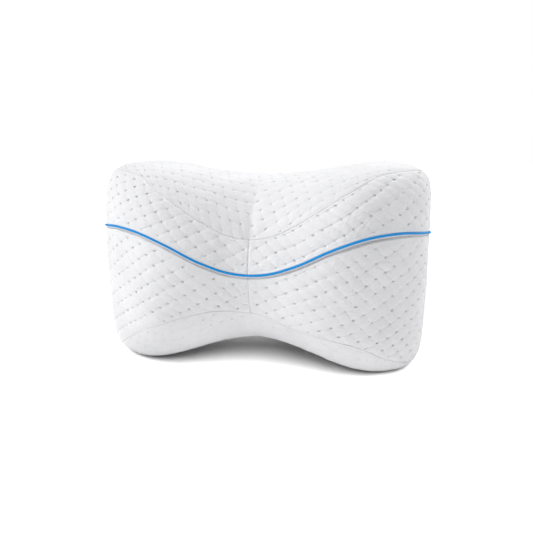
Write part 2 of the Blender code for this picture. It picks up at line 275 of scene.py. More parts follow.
def quilt_height(steps, seed):
    """Height of the quilting in millimetres: a low puff in each cell of the lattice, as a product of sines,
    thin creases of uneven strength along the lattice lines, and a short tack pressed in where they cross."""
    p, q = steps[..., 0], steps[..., 1]
    luck = np.random.default_rng(seed).uniform(0.0, 1.0, (4, LUCK_CELLS, LUCK_CELLS))
    cell_p, cell_q = np.floor(p).astype(int) % LUCK_CELLS, np.floor(q).astype(int) % LUCK_CELLS
    knot_p, knot_q = np.round(p).astype(int) % LUCK_CELLS, np.round(q).astype(int) % LUCK_CELLS
    puff = np.abs(np.sin(math.pi * p) * np.sin(math.pi * q)) ** PUFF_FULLNESS
    puff = puff * (PUFF_LEAST + PUFF_LUCK * luck[0][cell_p, cell_q])
    off = np.stack([p - np.round(p), q - np.round(q)], -1)
    across_p = off[..., 0] * CELL_AREA / np.linalg.norm(TACK_STEP_DOWN)
    across_q = off[..., 1] * CELL_AREA / np.linalg.norm(TACK_STEP_UP)
    falling = luck[1][knot_p, cell_q] ** CREASE_LUCK_POWER
    rising = luck[2][cell_p, knot_q] ** CREASE_LUCK_POWER
    crease = CREASE_DEPTH_DOWN * bell(across_p, CREASE_WIDTH) * falling
    crease += CREASE_DEPTH_UP * bell(across_q, CREASE_WIDTH) * rising
    off = off @ TACK_STEPS
    gap = np.hypot(np.clip(np.abs(off[..., 0]) - TACK_HALF_LENGTH, 0.0, None), off[..., 1])
    tack = TACK_SHARP_SHARE * bell(gap, TACK_WIDTH) + (1 - TACK_SHARP_SHARE) * bell(gap, TACK_DISH_WIDTH)
    tack = tack * (TACK_LEAST + TACK_LUCK * luck[3][knot_p, knot_q])
    return PUFF_HEIGHT * puff - crease - TACK_DEPTH * tack


# Wrinkled cloth between the tacks: a slow swell (heights and steps), and ripples (slope and steps)
SWELL = ((0.30, 24.0, 19.0), (0.14, 9.0, 10.0))
RIPPLE_RISING, RIPPLE_FALLING = (0.9, 3.4, 1.5), (-0.8, 3.6, 1.6)
RIPPLE_HEIGHT, RIPPLE_PATCH, RIPPLE_CELLS = 0.11, (14.0, 12.0), 331


def ripples(u, v, way, seed):
    """Slanting ripples from wavy noise, long along their slope and short across it."""
    slope, along, across = way
    return smooth_noise((u + slope * v) / along, (v - slope * u) / across, seed, RIPPLE_CELLS)


def wrinkles(cloth, seed):
    """Uneven cloth between the tacks, in millimetres: a slow swell, and ripples that rise in some patches and
    fall in others, by a wavy noise."""
    u, v = cloth[..., 0], cloth[..., 1]
    rising = ripples(u, v, RIPPLE_RISING, seed + 2)
    falling = ripples(u, v, RIPPLE_FALLING, seed + 3)
    where = 0.5 + 0.5 * smooth_noise(u / RIPPLE_PATCH[0], v / RIPPLE_PATCH[1], seed + 4)
    return waves(u, v, SWELL, seed) + RIPPLE_HEIGHT * (rising * where + falling * (1 - where))


# Creases of the side, listed one by one, in millimetres from the front centre of the piping line
FOLDS = (
    # along, up, turn in degrees, half length, half width, depth
    (93.8, -9.8, -62.0, 3.8, 0.7, 0.40),
    (98.0, -16.7, -16.0, 4.2, 0.7, 0.35),
    (97.5, -22.0, -28.0, 7.0, 0.8, 0.35),
    (101.0, -27.5, -40.0, 4.5, 0.7, 0.25),
    (89.5, 16.5, -20.0, 3.6, 0.7, 0.35),
    (93.5, 12.0, -38.0, 4.2, 0.8, 0.35),
    (101.4, 9.4, -50.0, 4.0, 0.7, 0.35),
    (97.0, 5.0, -24.0, 4.5, 0.7, 0.30),
    (85.0, 8.5, 35.0, 5.0, 0.8, 0.25),
    (-19.3, -5.8, -52.0, 3.2, 0.7, 0.28),
    (-15.0, -8.5, -56.0, 4.8, 0.7, 0.32),
    (-10.0, -7.0, -60.0, 4.2, 0.6, 0.28),
    (-6.0, -11.5, -66.0, 5.0, 0.7, 0.30),
    (-12.5, -15.5, -48.0, 4.5, 0.8, 0.25),
    (-30.6, -17.6, -34.0, 5.0, 0.8, 0.25),
    (-24.0, -12.5, -30.0, 4.0, 0.7, 0.22),
    (76.0, -70.5, -52.0, 4.0, 0.7, 0.25),
    (82.0, -75.5, -50.0, 4.5, 0.7, 0.25),
    (88.5, -80.0, -48.0, 4.5, 0.7, 0.25),
    (70.0, -58.0, -25.0, 5.0, 0.8, 0.20),
    (-60.0, -9.5, 20.0, 3.5, 0.6, 0.22),
    (-96.0, 17.0, 24.0, 5.0, 0.8, 0.25),
    (-100.0, 26.0, 40.0, 4.0, 0.8, 0.25),
)
FOLD_WANDER, FOLD_WANDER_TURN = 0.35, 2.6
FOLD_RIDGE_SHARE, FOLD_RIDGE_AT = 0.7, 1.7
PUCKER_AT, PUCKER_RADIUS, PUCKER_HEIGHT = (85.4, -31.5), 1.6, 0.35
PUCKER_DOME_WIDTH = 0.7
PUCKER_RING_AT, PUCKER_RING_WIDTH, PUCKER_RING_SHARE = 1.3, 0.4, 0.8


def folds(cloth):
    """Creases given one by one, in millimetres: across, a trough with a lower ridge beside it, as a pair of
    bells, and along, a bell of the fourth power. The round pucker is a dome in a ring-shaped trough."""
    height = np.zeros(cloth.shape[:-1])
    for run, up, turn, half_length, half_width, depth in FOLDS:
        along, across = cloth[..., 0] - run, cloth[..., 1] - up
        cos, sin = math.cos(math.radians(turn)), math.sin(math.radians(turn))
        along, across = along * cos + across * sin, (across * cos - along * sin) / half_width
        across = across + FOLD_WANDER * np.sin(along / half_length * FOLD_WANDER_TURN + run)
        trough = FOLD_RIDGE_SHARE * bell(across - FOLD_RIDGE_AT, 1.0) - bell(across, 1.0)
        height += depth * trough * np.exp(-((along / half_length) ** 4))
    gap = np.linalg.norm(cloth - np.array(PUCKER_AT), axis=-1) / PUCKER_RADIUS
    ring = PUCKER_RING_SHARE * bell(gap - PUCKER_RING_AT, PUCKER_RING_WIDTH)
    return height + PUCKER_HEIGHT * (bell(gap, PUCKER_DOME_WIDTH) - ring)


# Sewn seams: the crease at the stitches, the allowance that shows as a fold beside it, and the gathers that
# run out of it, in millimetres
STITCH_LENGTH, STITCH_PINCH = 3.0, 0.2
SEAM_WIDTH, SEAM_UNEVEN, SEAM_UNEVEN_STEP = 0.6, 0.4, 13.0
ALLOWANCE_AT, ALLOWANCE_WIDTH = 1.1, 0.6
CENTRE_SEAM_DEPTH, CENTRE_ALLOWANCE = 0.3, 0.15
TOP_SEAM_LEFT_DEPTH, TOP_SEAM_RIGHT_DEPTH, TOP_SEAM_BLEND = 0.10, 0.26, 0.2
TOP_ALLOWANCE_LEFT, TOP_ALLOWANCE_RIGHT, TOP_ALLOWANCE_BLEND = 0.45, 0.10, 0.1
BOTTOM_SEAM_INNER_DEPTH, BOTTOM_SEAM_OUTER_DEPTH = 0.05, 0.29
BOTTOM_SEAM_OUTER, BOTTOM_SEAM_OUTER_BLEND = math.radians(46.0), math.radians(6.0)
BOTTOM_ALLOWANCE, PANEL_ALLOWANCE = 0.05, 0.08
GATHER_HEIGHT, GATHER_LENGTH, GATHER_FADE = 0.16, 0.8, 3.0
GATHER_WANDER, GATHER_WANDER_STEP, GATHER_CELLS = 2.5, 9.0, 97
GATHER_PATCH, GATHER_PATCH_ROW = 23.0, 5.0


def seam_profile(distance, run, fold, depth):
    """Height in millimetres across a sewn line: a crease that the stitches pinch along it as a sine, and
    beside it a narrow fold, both bells, by how much the seam allowance shows."""
    pinch = (1 - STITCH_PINCH) + STITCH_PINCH * np.sin(2 * math.pi * run / STITCH_LENGTH)
    depth = depth * (1 + SEAM_UNEVEN * smooth_noise(run / SEAM_UNEVEN_STEP, 0.0, SEAM_SEED))
    return fold * bell(distance - ALLOWANCE_AT, ALLOWANCE_WIDTH) - depth * pinch * bell(distance, SEAM_WIDTH)


def seam_depth(upper):
    """Depth of a panel seam's crease at each column, in millimetres: the top seam's is deeper at the right,
    and the bottom seam's at the feet's outer corners. Both change as soft steps."""
    if upper:
        right = soft_step(np.cos(ANGLES), TOP_SEAM_BLEND)
        return TOP_SEAM_LEFT_DEPTH + (TOP_SEAM_RIGHT_DEPTH - TOP_SEAM_LEFT_DEPTH) * right
    outer = soft_step(np.abs(turn_from_front(ANGLES)) - BOTTOM_SEAM_OUTER, BOTTOM_SEAM_OUTER_BLEND)
    return BOTTOM_SEAM_INNER_DEPTH + (BOTTOM_SEAM_OUTER_DEPTH - BOTTOM_SEAM_INNER_DEPTH) * outer


def allowance_height():
    """Height of the fold that the top seam's allowance makes, by column: most at the left, as a soft step."""
    left = soft_step(-np.cos(ANGLES), TOP_ALLOWANCE_BLEND)
    return TOP_ALLOWANCE_RIGHT + (TOP_ALLOWANCE_LEFT - TOP_ALLOWANCE_RIGHT) * left


def gathers(run, distance, seed):
    """Small gathers that run out of a sewn line: a wave along it that dies away from it as an exponential."""
    wander = smooth_noise(run / GATHER_WANDER_STEP, 0.0, seed, GATHER_CELLS)
    wave = np.sin(run / GATHER_LENGTH + GATHER_WANDER * wander)
    patch = 0.5 + 0.5 * smooth_noise(run / GATHER_PATCH, GATHER_PATCH_ROW, seed)
    return GATHER_HEIGHT * wave * np.exp(-np.abs(distance) / GATHER_FADE) * patch


# Groove under the piping: heights of the cloth in it by distance from the piping line, in millimetres. Above,
# the cloth rolls down to the piping. Below come a white welt, the zip's ledge, and the lower band's edge.
GROOVE_ABOVE = (
    (0.15, -1.0), (0.45, -0.9), (0.62, -0.5), (0.7, 0.0), (0.85, 0.3), (1.3, 0.35), (1.9, 0.15),
)
WELT_BELOW = (
    (0.15, -1.0), (0.45, -0.9), (0.62, -0.5), (0.7, 0.0), (0.85, 0.3), (1.2, 0.4), (1.55, 0.25), (1.7, -0.4),
)
EDGE_BELOW = ((0.0, -1.0), (0.12, -0.55), (0.3, -0.15), (0.6, 0.1), (1.0, 0.15), (1.6, 0.0))
WELT_EDGE = 1.8
LEDGE_DEPTH, LEDGE_SPARE = 1.6, 0.2
LEDGE_LEFT_DEPTH, LEDGE_LEFT_TURN, LEDGE_LEFT_BLEND = 0.9, math.radians(-12.0), math.radians(6.0)
LEDGE_CORNER_DEPTH, LEDGE_CORNER_TURN, LEDGE_CORNER_SPREAD = 1.4, math.radians(50.0), math.radians(11.0)
EDGE_WAVE, EDGE_WAVE_STEP, EDGE_WAVE_FROM = 0.25, 7.0, 0.3


def ledge_depth():
    """Depth of the zip's ledge at each column, in millimetres: deeper along the left, where it is narrow, as
    a soft step, and a bell round the front right corner."""
    turn = turn_from_front(ANGLES)
    corner = LEDGE_CORNER_DEPTH * bell(turn - LEDGE_CORNER_TURN, LEDGE_CORNER_SPREAD)
    left = LEDGE_LEFT_DEPTH * soft_step(LEDGE_LEFT_TURN - turn, LEDGE_LEFT_BLEND)
    return LEDGE_DEPTH + (corner + left) * (np.sin(ANGLES) < 0)


def groove_rows(run, upper):
    """Rows of the groove, column by column: distances from the piping line and heights of the cloth, both in
    millimetres. The edge below the zip is a little wavy, by a wavy noise."""
    if upper:
        table = np.array(GROOVE_ABOVE) + 0 * run[:, None, None]
        return table[..., 0], table[..., 1]
    zip_width = LINES["zip"] / MM
    depth = ledge_depth()
    wave = EDGE_WAVE * smooth_noise(run / EDGE_WAVE_STEP, 0.0, EDGE_SEED) * (zip_width > EDGE_WAVE_FROM)
    far = WELT_EDGE + zip_width + LEDGE_SPARE + wave
    rows = [(distance + 0 * far, height + 0 * far) for distance, height in WELT_BELOW]
    rows += [(WELT_EDGE + (far - WELT_EDGE) * share, -depth) for share in (0.0, 0.5)]
    for distance, height in EDGE_BELOW:
        rows.append((far + distance, height * np.where(height < 0, depth / LEDGE_DEPTH, 1.0)))
    return np.stack([row[0] for row in rows], 1), np.stack([row[1] for row in rows], 1)


# How near a seam or the groove the quilting and the wrinkles end, in millimetres, and how much quilting the
# panels show. The top's tacks fade to the right, and its hollow has a soft crease across it.
PLAIN_BY_SEAM, PLAIN_BY_CENTRE, PLAIN_BY_LIP, WRINKLE_FREE = 1.6, 1.8, 1.2, 2.0
LIP_GATHER_SHIFT, LIP_GATHER_FROM = 3.0, 0.8
BOTTOM_QUILT_SHARE, TOP_QUILT_SHARE, TOP_RIGHT_SHARE = 0.4, 0.75, 0.35
TOP_FADE_AT, TOP_FADE_WIDTH = 45.0, 20.0
TOP_LATTICE_LEAN = 0.4
HOLLOW_CREASE_DEPTH, HOLLOW_CREASE_WIDTH, HOLLOW_CREASE_REACH = 0.7, 3.5, 28.0
RIM_STRIP, FAR_FROM_RIM = 22, 99.0
RISE_STEPS = 12


def arc_along(points, axis):
    """Distance run along a grid of points, from its first row or column, in millimetres."""
    steps = np.linalg.norm(np.diff(points, axis=axis), axis=-1) / MM
    first = np.zeros_like(np.take(steps, [0], axis=axis))
    return np.concatenate([first, np.cumsum(steps, axis=axis)], axis=axis)


def run_round(loop):
    """Run along a closed loop of columns from the front centre, in millimetres and negative to the left, and
    the loop's whole length: sums of the gaps between its points."""
    gap = np.linalg.norm(np.roll(loop, -1, axis=0) - loop, axis=1) / MM
    run = np.concatenate([[0.0], np.cumsum(gap)[:-1]])
    run = run - run[LENGTH_CELLS // 2]
    return np.where(run > gap.sum() / 2, run - gap.sum(), run), gap.sum()


def level_cloth(up):
    """Place in a level cloth frame, in millimetres: the run along the block's level line through its middle,
    and the way up each column from that line, past the piping."""
    run, _ = run_round(on_block(ANGLES, 0.0 * ANGLES))
    rise = LINES["piping"][:, None] * np.linspace(0.0, 1.0, RISE_STEPS)
    to_piping = arc_along(on_block(np.broadcast_to(ANGLES[:, None], rise.shape), rise), 1)[:, -1:]
    return np.stack([np.broadcast_to(run[:, None], up.shape), to_piping * np.sign(rise[:, -1:]) + up], -1)


def side_height(cloth, length, groove_height, upper):
    """Height of the side's cloth in millimetres, and its lattice steps with the share of quilting there. The
    quilting fades towards each seam and the groove as one less a bell."""
    half = "upper" if upper else "lower"
    groove = groove_height.shape[1]
    run, up = cloth[..., 0], np.abs(cloth[..., 1])
    to_seam, to_front, to_back = up[:, -1:] - up, np.abs(run), length / 2 - np.abs(run)
    past_lip = np.clip(up - up[:, groove - 1 : groove], 0.0, None)
    level = level_cloth(cloth[..., 1])
    left = lattice(level + LEFT_SHIFT, LATTICE_SEED["left"])
    right = lattice(level + RIGHT_SHIFT, LATTICE_SEED["right"])
    steps = np.where((run < 0)[..., None], left, right)
    share = (1 - bell(to_seam, PLAIN_BY_SEAM)) * (1 - bell(past_lip, PLAIN_BY_LIP))
    share = share * (1 - bell(to_front, PLAIN_BY_CENTRE)) * (1 - bell(to_back, PLAIN_BY_CENTRE))
    height = quilt_height(steps, QUILT_SEED["side"]) * share
    height += (wrinkles(cloth, WRINKLE_SEED[half]) + folds(cloth)) * (1 - bell(past_lip, WRINKLE_FREE))
    allowance = allowance_height()[:, None] if upper else BOTTOM_ALLOWANCE
    height += seam_profile(to_seam, run, allowance, seam_depth(upper)[:, None])
    height += gathers(run, to_seam, GATHER_SEED[half])
    for distance, place in ((to_front, "front"), (to_back, "back")):
        seam = seam_profile(distance, up, CENTRE_ALLOWANCE, CENTRE_SEAM_DEPTH)
        height += (seam + gathers(up, distance, GATHER_SEED[place])) * (past_lip > 0)
    lip = gathers(run + LIP_GATHER_SHIFT, past_lip, GATHER_SEED["lip"])
    height += lip * (1 - bell(past_lip, LIP_GATHER_FROM))
    height[:, :groove] = groove_height
    share[:, :groove] = 0.0
    return height, np.concatenate([steps, share[..., None]], -1)


def rim_distance(panel, rim):
    """Distance of each point of a panel from the seam round it, in millimetres, and the seam column it is
    nearest to. Only a strip along the edge is measured, and the rest counts as far away."""
    strip = np.ones(panel.shape[:2], dtype=bool)
    strip[RIM_STRIP:-RIM_STRIP, RIM_STRIP:-RIM_STRIP] = False
    near = panel[strip].astype(np.float32)
    gaps = sum((near[:, None, k] - rim[None, :, k].astype(np.float32)) ** 2 for k in range(3))
    distance = np.full(panel.shape[:2], FAR_FROM_RIM)
    column = np.zeros(panel.shape[:2], dtype=int)
    distance[strip] = np.sqrt(gaps.min(axis=1)) / MM
    column[strip] = gaps.argmin(axis=1)
    return distance, column


def panel_height(panel, rim, run, upper):
    """Height of the top or bottom panel's cloth in millimetres, and its lattice steps with the share of
    quilting. The lattice lies with its short step along the pillow, and leans past the middle."""
    place = "top" if upper else "bottom"
    u, v = arc_along(panel, 0), arc_along(panel, 1)
    from_front = v
    to_seam, column = rim_distance(panel, rim)
    u = u - u[LENGTH_CELLS // 2]
    v = v - v[:, DEPTH_CELLS // 2 : DEPTH_CELLS // 2 + 1]
    v = v - TOP_LATTICE_LEAN * np.clip(u, 0.0, None)
    slant = math.atan2(TACK_STEP_UP[1], TACK_STEP_UP[0])
    cos, sin = math.cos(slant), math.sin(slant)
    cloth = np.stack([u * cos - v * sin, u * sin + v * cos], -1)
    steps = lattice(cloth, LATTICE_SEED[place])
    to_right = soft_step(u - TOP_FADE_AT, TOP_FADE_WIDTH)
    top_share = TOP_QUILT_SHARE + (TOP_RIGHT_SHARE - TOP_QUILT_SHARE) * to_right
    share = (1 - bell(to_seam, PLAIN_BY_SEAM)) * (top_share if upper else BOTTOM_QUILT_SHARE)
    height = quilt_height(steps, QUILT_SEED[place]) * share
    height += wrinkles(cloth, WRINKLE_SEED[place]) * (1 - bell(to_seam, WRINKLE_FREE))
    height += seam_profile(to_seam, run[column], PANEL_ALLOWANCE, seam_depth(upper)[column])
    height += gathers(run[column], to_seam, GATHER_SEED["upper" if upper else "lower"])
    if upper:
        fade = np.exp(-from_front / HOLLOW_CREASE_REACH)
        height -= HOLLOW_CREASE_DEPTH * bell(u, HOLLOW_CREASE_WIDTH) * fade
    return height, np.concatenate([steps, share[..., None]], -1)


# Making up the halves: rows of the grid up the side, how they crowd, a small angle that measures the block's
# slopes, and how far above the floor the cloth is pressed flat, in millimetres
UPPER_ROWS, LOWER_ROWS = 66, 116
ROW_CROWD = 0.25
PROBE_ANGLE = 0.003
CONTACT_FADE = 6.0


def panel_plan(loop):
    """Blends a closed plan loop of columns into a grid of plan points, each from the four sides it lies
    between, less the blend of the four corners."""
    n, m = LENGTH_CELLS, DEPTH_CELLS
    south, east = loop[: n + 1], loop[n : n + m + 1]
    north, west = loop[n + m : 2 * n + m + 1][::-1], np.concatenate([loop[2 * n + m :], loop[:1]])[::-1]
    u = spread(n, 0.0)[:, None, None]
    v = spread(m, CAP_CROWD)[None, :, None]
    ruled = (1 - v) * south[:, None] + v * north[:, None] + (1 - u) * west[None] + u * east[None]
    corners = (1 - u) * ((1 - v) * south[0] + v * north[0]) + u * ((1 - v) * south[-1] + v * north[-1])
    return ruled - corners


def cover_faces(rows, upper):
    """Quads of the side's left and right parts and of the panel that fills the seam, as point numbers: the
    side's points come first, column by column, and then the panel's inner ones."""
    n, m = LENGTH_CELLS, DEPTH_CELLS
    column = np.arange(len(ANGLES))
    side = np.arange(len(ANGLES) * rows).reshape(-1, rows)
    panel = np.empty((n + 1, m + 1), dtype=int)
    panel[1:n, 1:m] = side.size + np.arange((n - 1) * (m - 1)).reshape(n - 1, m - 1)
    rim = side[:, -1]
    panel[:, 0], panel[n] = rim[: n + 1], rim[n : n + m + 1]
    panel[::-1, m], panel[0, :0:-1] = rim[n + m : 2 * n + m + 1], rim[2 * n + m :]
    on = np.roll(side, -1, axis=0)
    side = np.stack([side[:, :-1], on[:, :-1], on[:, 1:], side[:, 1:]], -1)
    panel = np.stack([panel[:-1, :-1], panel[1:, :-1], panel[1:, 1:], panel[:-1, 1:]], -1)
    right = (column >= n // 2) & (column < n + m + n // 2)
    parts = [side[~right].reshape(-1, 4), side[right].reshape(-1, 4), panel.reshape(-1, 4)]
    return parts if upper else [part[:, ::-1] for part in parts]


def vertex_normals(points, faces):
    """Outward direction at each point: the sum of the crossed diagonals of the quads round it."""
    corner = points[faces]
    cross = np.cross(corner[:, 2] - corner[:, 0], corner[:, 3] - corner[:, 1])
    normal = np.zeros_like(points)
    for k in range(4):
        np.add.at(normal, faces[:, k], cross)
    return normal / np.maximum(np.linalg.norm(normal, axis=1, keepdims=True), 1e-12)


def half_of_cover(upper):
    """Points, quads and lattice steps of the upper or lower half: side rows from the groove to the seam, then
    the panel that fills the seam, all pushed out along their normals by the height of the cloth."""
    sign = 1 if upper else -1
    piping, seam = LINES["piping"], LINES["top" if upper else "bottom"]
    run, length = run_round(on_block(ANGLES, piping))
    distance, groove_height = groove_rows(run, upper)
    rise = on_block(ANGLES, piping + PROBE_ANGLE) - on_block(ANGLES, piping - PROBE_ANGLE)
    turn_per_metre = 2 * PROBE_ANGLE / np.linalg.norm(rise, axis=1)
    groove = piping[:, None] + sign * distance * MM * turn_per_metre[:, None]
    share = spread(UPPER_ROWS if upper else LOWER_ROWS, ROW_CROWD)[1:]
    band = groove[:, -1:] + (seam - groove[:, -1])[:, None] * share
    elevations = np.concatenate([groove, band], axis=1)
    side = on_block(np.broadcast_to(ANGLES[:, None], elevations.shape), elevations)
    up = sign * arc_along(side, 1)
    cloth = np.stack([np.broadcast_to(run[:, None], up.shape), up], -1)
    lift, steps = side_height(cloth, length, groove_height, upper)
    plan = panel_plan(side[:, -1, :2])
    panel = np.concatenate([plan, height_over(plan[..., 0], plan[..., 1], upper)[..., None]], axis=-1)
    panel_lift, panel_steps = panel_height(panel, side[:, -1], run, upper)

    inner = (slice(1, LENGTH_CELLS), slice(1, DEPTH_CELLS))
    points = np.concatenate([side.reshape(-1, 3), panel[inner].reshape(-1, 3)])
    lift = np.concatenate([lift.ravel(), panel_lift[inner].ravel()])
    steps = np.concatenate([steps.reshape(-1, 3), panel_steps[inner].reshape(-1, 3)])
    parts = cover_faces(side.shape[1], upper)
    normal = vertex_normals(points, np.concatenate(parts))
    above_floor = (points[:, 2] + CENTRE_HEIGHT) / MM
    lift *= MM * np.clip(above_floor / CONTACT_FADE, 0.0, 1.0)
    points = points + normal * lift[:, None] + (0.0, 0.0, CENTRE_HEIGHT)
    points[:, 2] = np.maximum(points[:, 2], 0.0)
    return points, parts, steps


def closed_mesh(name, points, faces, cloth, material):
    """A smooth mesh from points and faces, and the place of each point in its cloth as its UV map."""
    mesh = bpy.data.meshes.new(name)
    mesh.from_pydata(points.tolist(), [], faces)
    layer = mesh.uv_layers.new(name="cloth")
    loops = np.empty(len(mesh.loops), dtype=np.int32)
    mesh.loops.foreach_get("vertex_index", loops)
    layer.data.foreach_set("uv", cloth[loops].astype(np.float32).ravel())
    mesh.shade_smooth()
    mesh.materials.append(material)
    piece = bpy.data.objects.new(name, mesh)
    bpy.context.scene.collection.objects.link(piece)
    return piece


def sewn_panel(name, points, quads, steps, material):
    """One panel with its share of the filling, as a closed solid: its own quads, and flat faces from the edge
    of the panel in to the middle of the pillow. An edge is one that no quad runs the other way."""
    start, end = quads.ravel(), np.roll(quads, -1, axis=1).ravel()
    size = len(points)
    edge = ~np.isin(start * size + end, end * size + start)
    used, number = np.unique(quads, return_inverse=True)
    place = np.full(size, -1)
    place[used] = np.arange(len(used))
    inward = np.stack([place[end[edge]], place[start[edge]], np.full(edge.sum(), len(used))], -1)
    corners = np.concatenate([points[used], [(0.0, 0.0, CENTRE_HEIGHT)]])
    cloth = np.concatenate([steps[used], [(0.0, 0.0, 0.0)]])
    faces = number.reshape(-1, 4).tolist() + inward.tolist()
    piece = closed_mesh(name, corners, faces, cloth[:, :2], material)
    tacking = piece.data.attributes.new("tacking", "FLOAT", "POINT")
    tacking.data.foreach_set("value", cloth[:, 2].astype(np.float32))
    smooth = np.ones(len(faces), dtype=bool)
    smooth[len(quads) :] = False
    piece.data.polygons.foreach_set("use_smooth", smooth)
    return piece


def hex_to_linear(code):
    """An sRGB hex colour as linear light."""
    channels = [int(code[i : i + 2], 16) / 255.0 for i in (1, 3, 5)]
    return tuple(c / 12.92 if c <= 0.04045 else ((c + 0.055) / 1.055) ** 2.4 for c in channels) + (1.0,)


def add_node(tree, kind, settings=None, links=None):
    """Adds a node. Settings are its properties by name and its inputs by (name or number,). Links feed it."""
    node = tree.nodes.new(kind)
    for key, value in (settings or {}).items():
        if isinstance(key, tuple):
            node.inputs[key[0]].default_value = value
        else:
            setattr(node, key, value)
    for key, output in (links or {}).items():
        tree.links.new(output, node.inputs[key])
    return node


# The cloth's finest relief, in millimetres. Each tack is a pit that ends at so many half sizes, and each
# crease has the axis it lies across, the step it runs along, and its depth. Patches are in lattice steps.
PIT_HALF_SIZES, PIT_END, PIT_DEPTH, PIT_LEAST = (0.9, 0.6), 1.5, 0.7, 0.6
PIT_CREASE_WIDTH = 0.9
PIT_CREASES = (((1.0, 0.0, 0.0), TACK_STEP_DOWN, 0.07), ((0.0, 1.0, 0.0), TACK_STEP_UP, 0.15))
PATCH_SCALE, PATCH_FROM, PATCH_FULL = 0.9, 0.42, 0.62

# Fine wrinkles between the tacks: how far each set is turned in the lattice, and its waves in a lattice step
WRINKLE_WAYS = ((12.0, (1.6, 6.5, 1.0)), (-68.0, (1.8, 7.5, 1.0)))
WRINKLE_DEPTH = 0.22

# The knit's loops are about 0.5 mm apart, drawn at 1 mm so that they show, with a looser fuzz over them
LOOP_SIZE, FUZZ_SIZE, BLOTCH_SIZE = 1.0, 2.38, 28.6
KNIT_RELIEF = 0.3


